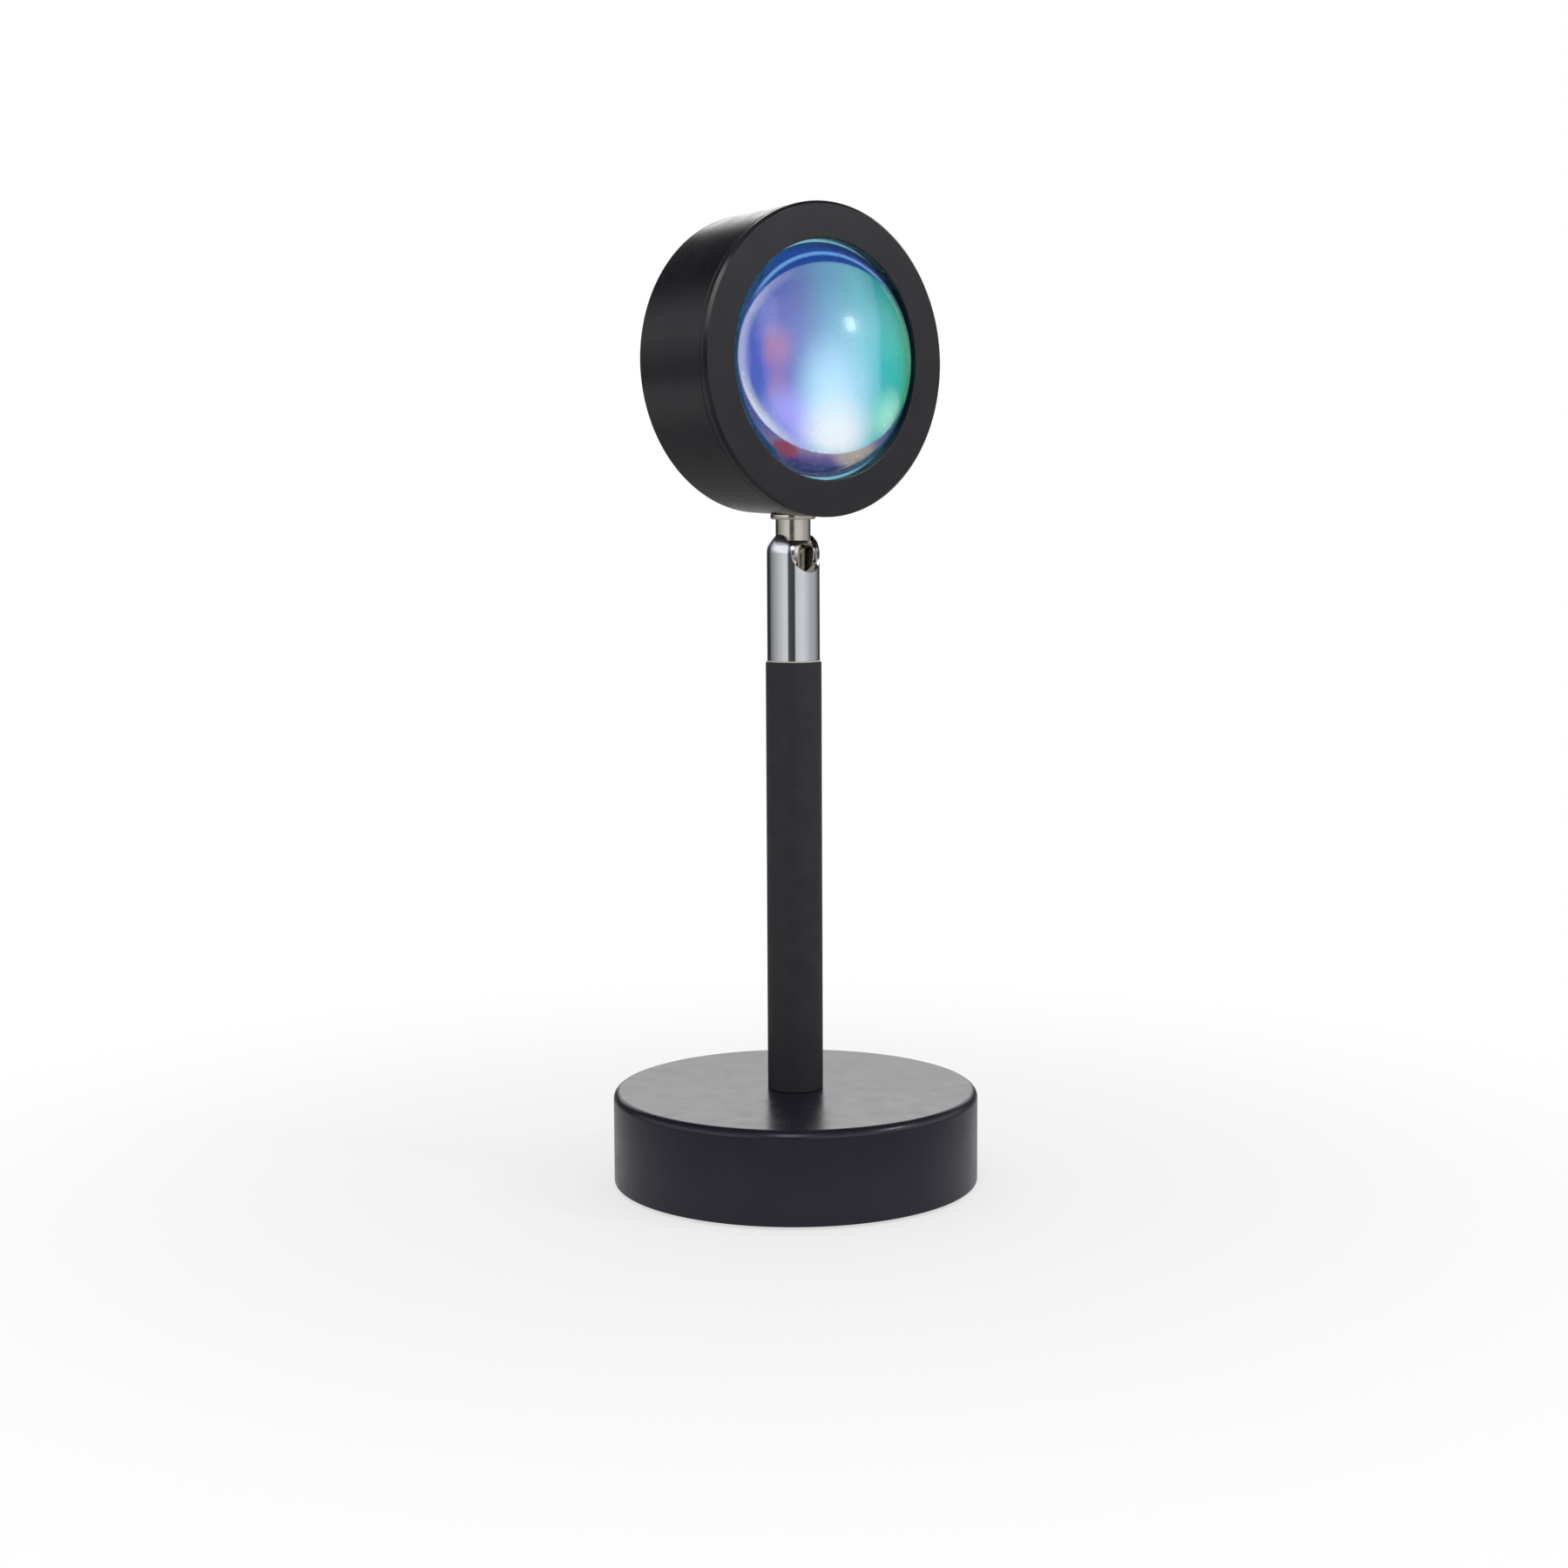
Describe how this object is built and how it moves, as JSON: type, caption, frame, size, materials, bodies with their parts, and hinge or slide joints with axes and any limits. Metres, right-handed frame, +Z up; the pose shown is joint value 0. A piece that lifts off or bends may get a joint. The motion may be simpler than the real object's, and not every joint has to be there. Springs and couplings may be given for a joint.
{
  "type": "sunset projection lamp",
  "caption": "Table lamp that projects a coloured disc of light: a round weighted base, a slim stem, a swivelling ball joint and a drum head with a domed glass lens.",
  "frame": {"origin": "centre of the base's underside, on the table", "axes": "+Z up along the stem, -Y the way the lens looks at rest, +Y towards the cord inlet"},
  "size_m": [0.1016, 0.1016, 0.2693],
  "materials": {
    "black_paint": "satin black powder coat",
    "black_sleeve": "satin black coat",
    "chrome": "polished chrome plate",
    "nickel": "polished nickel plate",
    "zinc_steel": "zinc plated",
    "black_steel": "black oxide",
    "brass": "turned brass",
    "cast_iron": "as cast",
    "rubber": "matt rubber",
    "clear_silicone": "clear moulded silicone",
    "nylon": "natural nylon",
    "lens_glass": "polished clear glass",
    "filter_glass": "dichroic coated glass",
    "holder_plastic": "bright moulded plastic",
    "board_white": "white solder mask",
    "board_green": "green solder mask",
    "phosphor": "yellow phosphor gel",
    "aluminium": "turned aluminium",
    "lead_sleeve": "soft PVC"
  },
  "bodies": {
    "base": {"base_shell": "black_paint", "base_weight": "cast_iron", "bottom_plate": "black_steel", "foot_pad": "rubber", "bottom_screws": "zinc_steel", "cord_gland": "rubber", "supply_lead": "lead_sleeve", "driver_board": "board_green", "driver_screws": "zinc_steel", "stem_tube": "black_sleeve", "stem_plug": "zinc_steel", "stem_nipple": "brass", "stem_washer": "zinc_steel", "stem_nut": "zinc_steel", "swivel_spigot": "zinc_steel", "pan_stop_pin": "zinc_steel", "swivel_washer": "nylon", "stem_lead": "lead_sleeve"},
    "swivel": {"swivel_barrel": "chrome", "swivel_clip": "zinc_steel", "ball_seat": "nylon", "ball_spring": "zinc_steel"},
    "stud": {"ball_stud": "nickel", "neck_washer": "nickel", "neck_spring_washer": "zinc_steel", "neck_nut": "zinc_steel"},
    "head": {"head_shell": "black_paint", "front_ring": "black_paint", "lens": "lens_glass", "lens_gasket": "clear_silicone", "colour_filter": "filter_glass", "lens_holder": "holder_plastic", "led_board": "board_white", "led_chip": "phosphor", "led_screws": "zinc_steel", "heat_sink": "aluminium", "rear_cover": "black_paint", "rear_cover_screws": "black_steel", "head_lead": "lead_sleeve"}
  },
  "joints": [
    {"name": "swivel_pan", "type": "hinge", "parent": "base", "child": "swivel", "pos_m": [0, 0, 0.1461], "axis": [0, 0, 1], "range_deg": [-170, 170]},
    {"name": "head_tilt", "type": "hinge", "parent": "swivel", "child": "stud", "pos_m": [0, 0, 0.17535], "axis": [1, 0, 0], "range_deg": [0, 90]},
    {"name": "head_turn", "type": "hinge", "parent": "stud", "child": "head", "pos_m": [0, 0, 0.19], "axis": [0, 0, 1], "range_deg": [-175, 175]}
  ]
}
